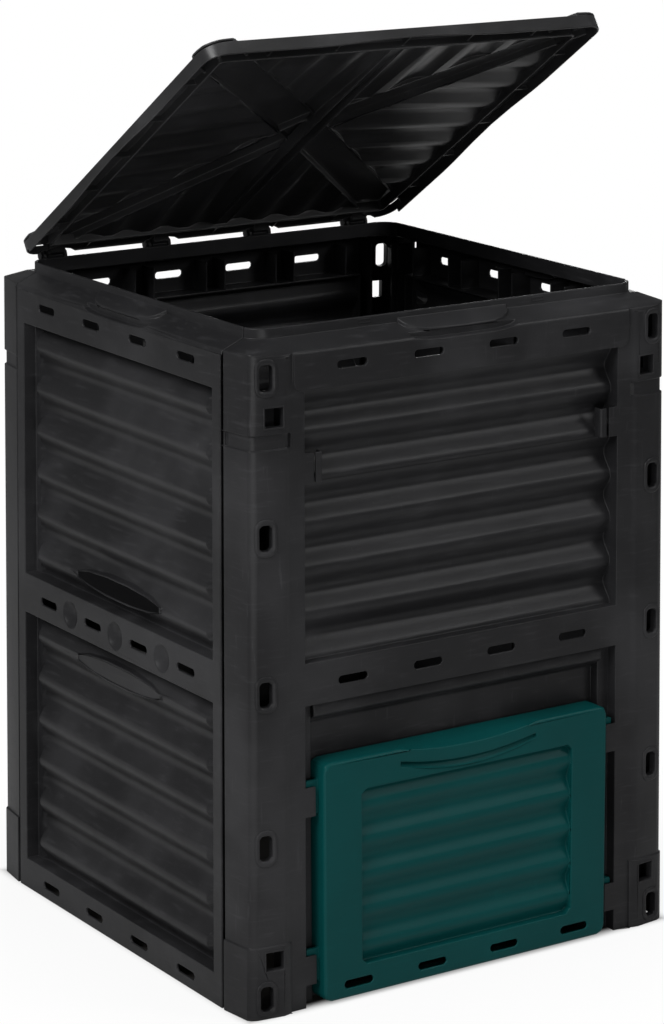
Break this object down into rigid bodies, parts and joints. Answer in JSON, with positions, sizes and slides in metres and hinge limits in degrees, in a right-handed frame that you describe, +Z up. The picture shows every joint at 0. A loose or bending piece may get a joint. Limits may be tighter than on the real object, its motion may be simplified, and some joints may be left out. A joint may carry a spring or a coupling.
{
  "type": "compost bin with lid",
  "caption": "Square plastic compost bin of snap-together ribbed walls with a hinged lid and a lift-out hatch low at the front.",
  "frame": {"origin": "on the ground under the middle of the bin, the bottom centre of the bounding box with the lid open as pictured", "axes": "+X to the right along the front wall, +Y from the hatch side to the hinge side, +Z up"},
  "size_m": [0.618, 0.6174, 1.1181],
  "materials": {
    "wall_black": "semi-matt moulded black plastic",
    "hatch_green": "satin dark green plastic",
    "lid_black": "semi-matt moulded black plastic",
    "pin_black": "semi-matt moulded black plastic"
  },
  "bodies": {
    "bin": {"front_wall": "wall_black", "back_wall": "wall_black", "left_wall": "wall_black", "right_wall": "wall_black", "hinge_pin_1": "pin_black", "hinge_pin_2": "pin_black", "hinge_pin_3": "pin_black", "hinge_pin_4": "pin_black"},
    "lid": {"lid": "lid_black"},
    "hatch": {"hatch": "hatch_green"}
  },
  "joints": [
    {"name": "lid_hinge", "type": "hinge", "parent": "bin", "child": "lid", "pos_m": [0, 0.28, 0.804], "axis": [-1, 0, 0], "range_deg": [-33.2, 66.8]},
    {"name": "hatch_lift", "type": "slide", "parent": "bin", "child": "hatch", "axis": [0, 0.0125, 0.9999], "range_m": [0, 0.034]}
  ]
}
